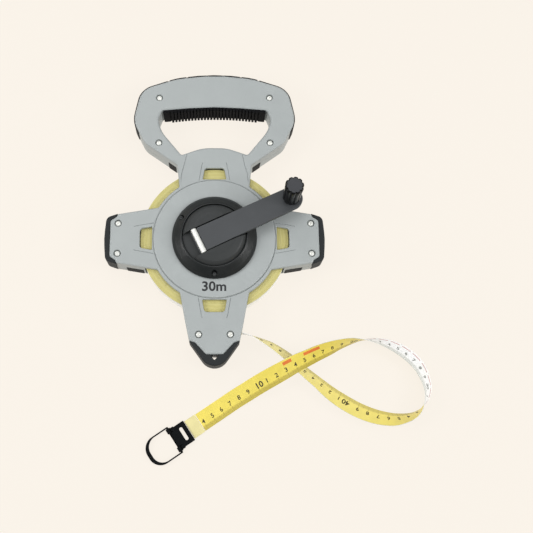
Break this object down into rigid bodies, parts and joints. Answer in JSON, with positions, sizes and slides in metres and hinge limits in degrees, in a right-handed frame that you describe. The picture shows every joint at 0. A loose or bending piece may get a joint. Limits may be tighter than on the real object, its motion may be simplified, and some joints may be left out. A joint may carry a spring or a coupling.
{
  "type": "open-reel tape measure",
  "caption": "Long tape measure with a cross-shaped open frame, grip handle, folding winding crank, and free tape ending in a hinged wire hook.",
  "frame": {"origin": "on the reel's axis, at the rear shell's flat outer face that the tool lies on", "axes": "+Z out of the front face along the reel's axis, +Y towards the handle, +X towards the side where the tape comes out"},
  "size_m": [0.3132, 0.3867, 0.0795],
  "materials": {
    "grey_shell": "fine satin texture",
    "rubber_trim": "matte",
    "ring_plastic": "satin",
    "dish_plastic": "satin",
    "arm_plastic": "satin",
    "knob_plastic": "gloss sides, matte top",
    "inner_plastic": "satin",
    "tape_ribbon": "coated glass fibre, yellow inside and white outside, printed scale",
    "end_band": "clear film over the tape's end",
    "steel": "bright zinc",
    "black_steel": "black"
  },
  "bodies": {
    "frame": {"front_shell": "grey_shell", "rear_shell": "grey_shell", "bumper_left": "rubber_trim", "bumper_right": "rubber_trim", "bumper_tip": "rubber_trim", "handle_grip": "rubber_trim", "handle_strap": "rubber_trim", "arm_pad_left_lower": "rubber_trim", "arm_pad_left_upper": "rubber_trim", "arm_pad_right_lower": "rubber_trim", "arm_pad_right_upper": "rubber_trim", "crook_pad_left": "rubber_trim", "crook_pad_right": "rubber_trim", "frame_screw_01": "steel", "frame_screw_02": "steel", "frame_screw_03": "steel", "frame_screw_04": "steel", "frame_screw_05": "steel", "frame_screw_06": "steel", "frame_screw_07": "steel", "frame_screw_08": "steel", "frame_screw_09": "steel", "frame_screw_10": "steel", "bearing_ring": "ring_plastic", "ring_screw_1": "black_steel", "ring_screw_2": "black_steel", "ring_screw_3": "black_steel", "axle_bush": "inner_plastic", "axle_washer": "steel", "axle_screw": "steel", "tape_inner_run": "tape_ribbon", "tape_strip": "tape_ribbon", "end_band": "end_band", "buckle": "black_steel"},
    "reel": {"crank_dish": "dish_plastic", "drum_core": "inner_plastic", "drum_screw_1": "steel", "drum_screw_2": "steel", "drum_screw_3": "steel", "tape_coil": "tape_ribbon", "hinge_pin": "steel"},
    "crank": {"crank_arm": "arm_plastic", "knob_spindle": "steel"},
    "knob": {"knob": "knob_plastic"},
    "hook_ring": {"hook_ring": "black_steel"}
  },
  "joints": [
    {"name": "reel_spin", "type": "hinge", "parent": "frame", "child": "reel", "pos_m": [0, 0, 0.03], "axis": [0, 0, 1], "continuous": true},
    {"name": "crank_fold", "type": "hinge", "parent": "reel", "child": "crank", "pos_m": [-0.01489, -0.0071, 0.0408], "axis": [0.4305, -0.9026, 0], "range_deg": [0, 150]},
    {"name": "knob_spin", "type": "hinge", "parent": "crank", "child": "knob", "pos_m": [0.07347, 0.03504, 0.06], "axis": [0, 0, 1], "continuous": true},
    {"name": "hook_ring_swing", "type": "hinge", "parent": "frame", "child": "hook_ring", "pos_m": [-0.0372, -0.18865, 0.0024], "axis": [-0.5519, 0.8339, 0], "range_deg": [0, 165]}
  ]
}
